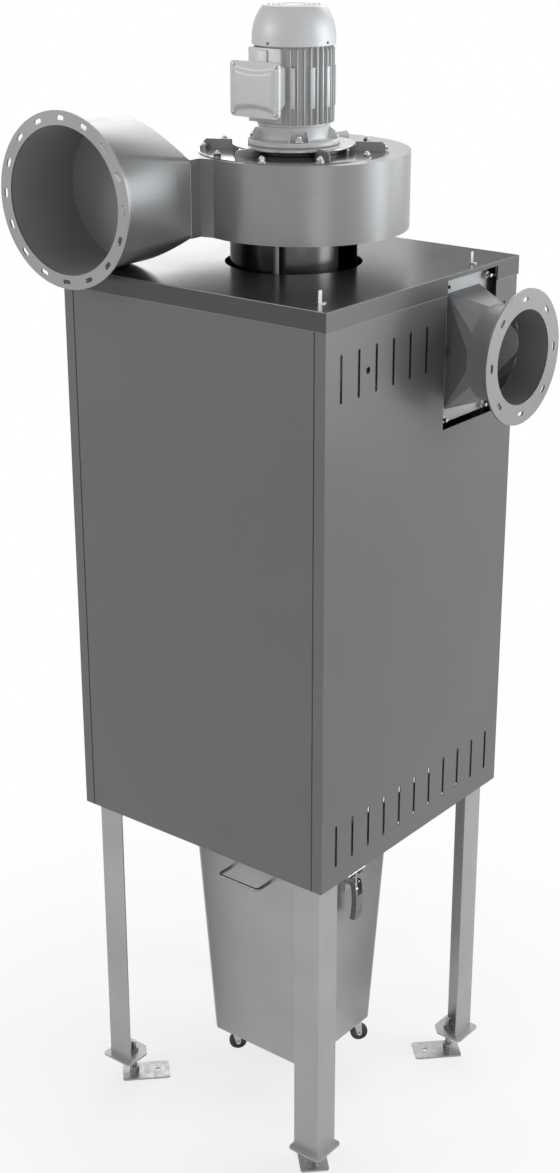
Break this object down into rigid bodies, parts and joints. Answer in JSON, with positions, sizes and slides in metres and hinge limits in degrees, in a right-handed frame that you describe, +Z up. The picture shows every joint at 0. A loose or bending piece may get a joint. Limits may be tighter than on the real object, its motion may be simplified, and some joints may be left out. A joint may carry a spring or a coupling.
{
  "type": "cyclone separator",
  "caption": "Free-standing cyclone separator in a louvred sheet steel cabinet on legs, with a top-mounted fan and motor, round duct flanges and a latched dust bin on casters.",
  "frame": {"origin": "on the floor under the cyclone's vertical axis, at the centre of the four anchor holes", "axes": "+X towards the inlet flange, -Y towards the outlet flange, +Z up"},
  "size_m": [1.1929, 0.987, 3.311],
  "materials": {
    "panel": "satin grey coated sheet",
    "zinc": "matt galvanised sheet",
    "fan_steel": "glossy grey coating",
    "collar": "dark glossy coating",
    "motor_paint": "satin light grey paint",
    "bright_steel": "bright zinc plate",
    "lever": "dark satin plate",
    "seal": "matt black rubber",
    "caster_tread": "dark rubber tread"
  },
  "bodies": {
    "separator": {"lid": "panel", "lid_tabs": "zinc", "side_panel_right": "panel", "side_panel_left": "panel", "front_panel": "panel", "back_panel": "panel", "base_frame": "zinc", "top_frame": "zinc", "corner_post_back_right": "zinc", "corner_post_back_left": "zinc", "corner_post_front_left": "zinc", "corner_post_front_right": "zinc", "levelling_foot_back_right": "zinc", "levelling_foot_back_left": "zinc", "levelling_foot_front_left": "zinc", "levelling_foot_front_right": "zinc", "cyclone_barrel": "zinc", "cyclone_cone": "zinc", "cyclone_top_plate": "zinc", "bin_cover": "zinc", "inlet_hood": "fan_steel", "inlet_bolts": "bright_steel", "inlet_flange": "zinc", "outlet_flange": "zinc", "outlet_hood": "fan_steel", "scroll_wall": "fan_steel", "scroll_floor": "fan_steel", "scroll_roof": "fan_steel", "vortex_pipe": "zinc", "neck_collar": "collar", "back_plate": "fan_steel", "back_plate_ribs": "zinc", "motor_disc": "zinc", "fan_wheel": "zinc", "motor_shield": "motor_paint", "motor_body": "motor_paint", "terminal_box": "motor_paint", "terminal_cover": "motor_paint", "motor_cowl": "motor_paint", "dust_bin": "zinc", "bin_gasket": "seal", "bin_handle": "bright_steel", "caster_plates": "zinc", "latch_base_right": "bright_steel", "latch_base_left": "bright_steel", "latch_catch_right": "bright_steel", "latch_catch_left": "bright_steel"},
    "caster_back_right": {"caster_fork_back_right": "bright_steel"},
    "wheel_back_right": {"caster_wheel_back_right": "caster_tread"},
    "caster_back_left": {"caster_fork_back_left": "bright_steel"},
    "wheel_back_left": {"caster_wheel_back_left": "caster_tread"},
    "caster_front_left": {"caster_fork_front_left": "bright_steel"},
    "wheel_front_left": {"caster_wheel_front_left": "caster_tread"},
    "caster_front_right": {"caster_fork_front_right": "bright_steel"},
    "wheel_front_right": {"caster_wheel_front_right": "caster_tread"},
    "lever_right": {"latch_lever_right": "lever"},
    "tee_right": {"latch_tee_right": "bright_steel"},
    "lever_left": {"latch_lever_left": "lever"},
    "tee_left": {"latch_tee_left": "bright_steel"}
  },
  "joints": [
    {"name": "caster_swivel_back_right", "type": "hinge", "parent": "separator", "child": "caster_back_right", "pos_m": [0.14, 0.14, 0.15], "axis": [0, 0, 1], "continuous": true},
    {"name": "wheel_spin_back_right", "type": "hinge", "parent": "caster_back_right", "child": "wheel_back_right", "pos_m": [0.15414, 0.15414, 0.098], "axis": [-0.7071, 0.7071, 0], "continuous": true},
    {"name": "caster_swivel_back_left", "type": "hinge", "parent": "separator", "child": "caster_back_left", "pos_m": [-0.14, 0.14, 0.15], "axis": [0, 0, 1], "continuous": true},
    {"name": "wheel_spin_back_left", "type": "hinge", "parent": "caster_back_left", "child": "wheel_back_left", "pos_m": [-0.12586, 0.15414, 0.098], "axis": [-0.7071, 0.7071, 0], "continuous": true},
    {"name": "caster_swivel_front_left", "type": "hinge", "parent": "separator", "child": "caster_front_left", "pos_m": [-0.14, -0.14, 0.15], "axis": [0, 0, 1], "continuous": true},
    {"name": "wheel_spin_front_left", "type": "hinge", "parent": "caster_front_left", "child": "wheel_front_left", "pos_m": [-0.12586, -0.12586, 0.098], "axis": [-0.7071, 0.7071, 0], "continuous": true},
    {"name": "caster_swivel_front_right", "type": "hinge", "parent": "separator", "child": "caster_front_right", "pos_m": [0.14, -0.14, 0.15], "axis": [0, 0, 1], "continuous": true},
    {"name": "wheel_spin_front_right", "type": "hinge", "parent": "caster_front_right", "child": "wheel_front_right", "pos_m": [0.15414, -0.12586, 0.098], "axis": [-0.7071, 0.7071, 0], "continuous": true},
    {"name": "latch_lever_right", "type": "hinge", "parent": "separator", "child": "lever_right", "pos_m": [0.243, 0, 0.757], "axis": [0, -1, 0], "range_deg": [0, 120]},
    {"name": "latch_tee_right", "type": "hinge", "parent": "lever_right", "child": "tee_right", "pos_m": [0.243, 0, 0.735], "axis": [0, -1, 0], "range_deg": [-120, 0]},
    {"name": "latch_lever_left", "type": "hinge", "parent": "separator", "child": "lever_left", "pos_m": [-0.243, 0, 0.757], "axis": [0, 1, 0], "range_deg": [0, 120]},
    {"name": "latch_tee_left", "type": "hinge", "parent": "lever_left", "child": "tee_left", "pos_m": [-0.243, 0, 0.735], "axis": [0, 1, 0], "range_deg": [-120, 0]}
  ],
  "couplings": [
    {"joint": "latch_tee_right", "follows": "latch_lever_right", "ratio": -1},
    {"joint": "latch_tee_left", "follows": "latch_lever_left", "ratio": -1}
  ]
}
